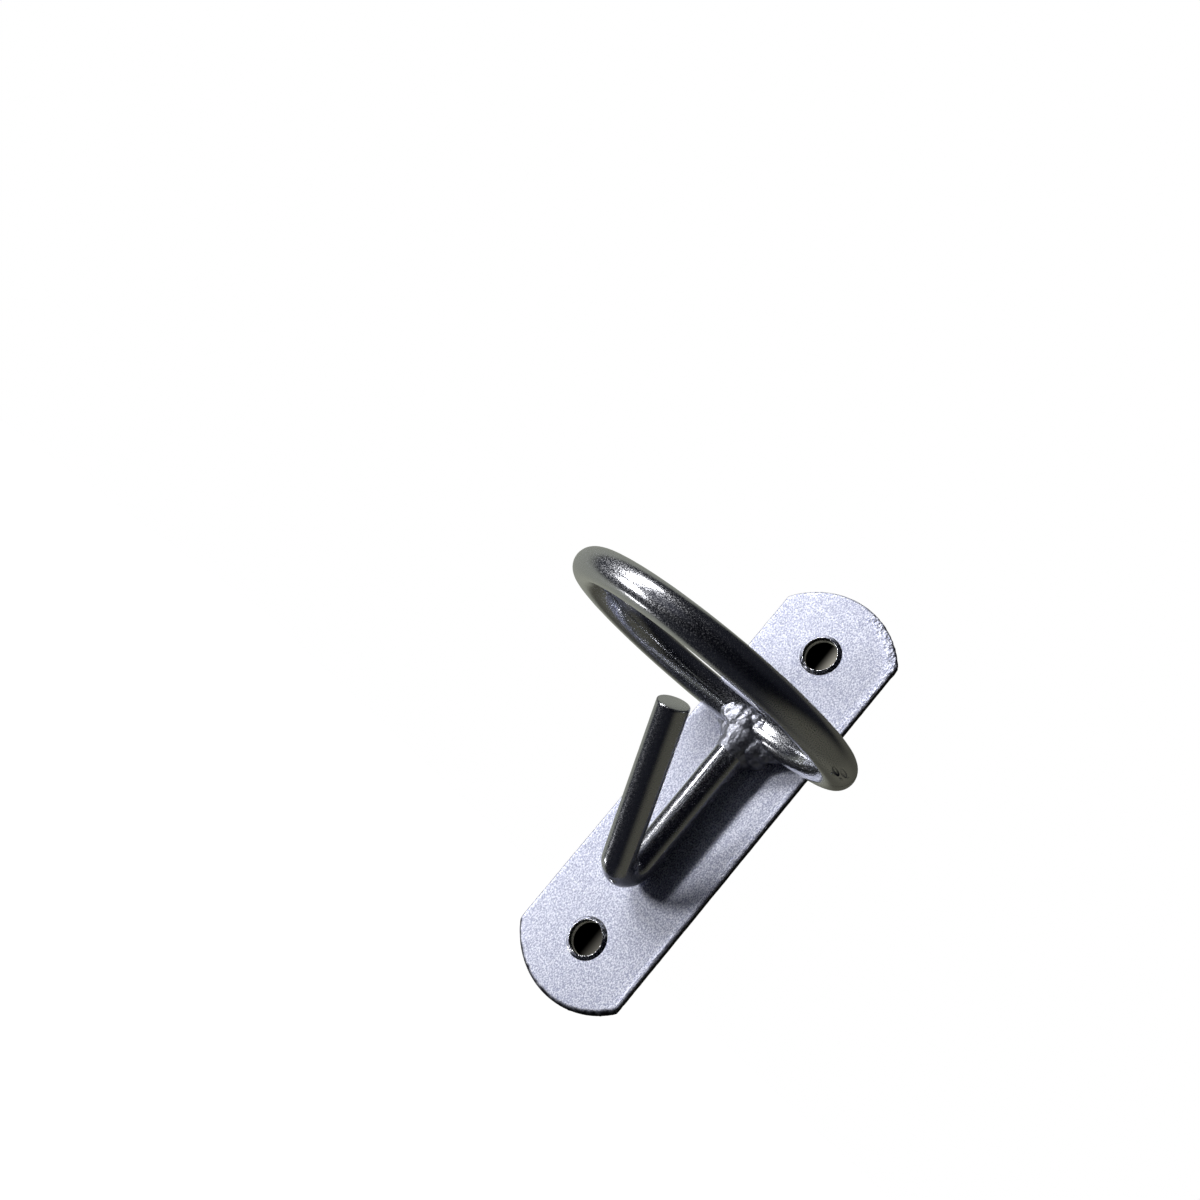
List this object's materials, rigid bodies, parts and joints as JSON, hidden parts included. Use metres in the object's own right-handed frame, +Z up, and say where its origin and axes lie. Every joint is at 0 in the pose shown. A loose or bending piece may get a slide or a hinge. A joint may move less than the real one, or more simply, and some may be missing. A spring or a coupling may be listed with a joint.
{
  "type": "bucket hook",
  "caption": "Wall-mounted bucket hook: a screw-on steel plate carrying a level ring and, below it, a V-shaped hook of round bar, welded together and zinc plated.",
  "frame": {"origin": "centre of the plate's back face, where it lies on the wall", "axes": "+Z up along the plate, +Y into the wall, -Y out of the wall towards the user, +X to the right of a person facing the wall"},
  "size_m": [0.078, 0.0801, 0.122],
  "materials": {
    "zinc_plate": "bright zinc plating over pickled flat steel: pale, faintly lilac, finely speckled and half matt",
    "zinc_bar": "bright zinc plating over smooth drawn bar: glossy, with soft dark reflections and fine grain",
    "weld_metal": "zinc plating over bare arc weld: bright, lumpy and pitted"
  },
  "bodies": {
    "root": {"mounting_plate": "zinc_plate", "ring": "zinc_bar", "hook": "zinc_bar", "weld": "weld_metal"}
  },
  "joints": []
}
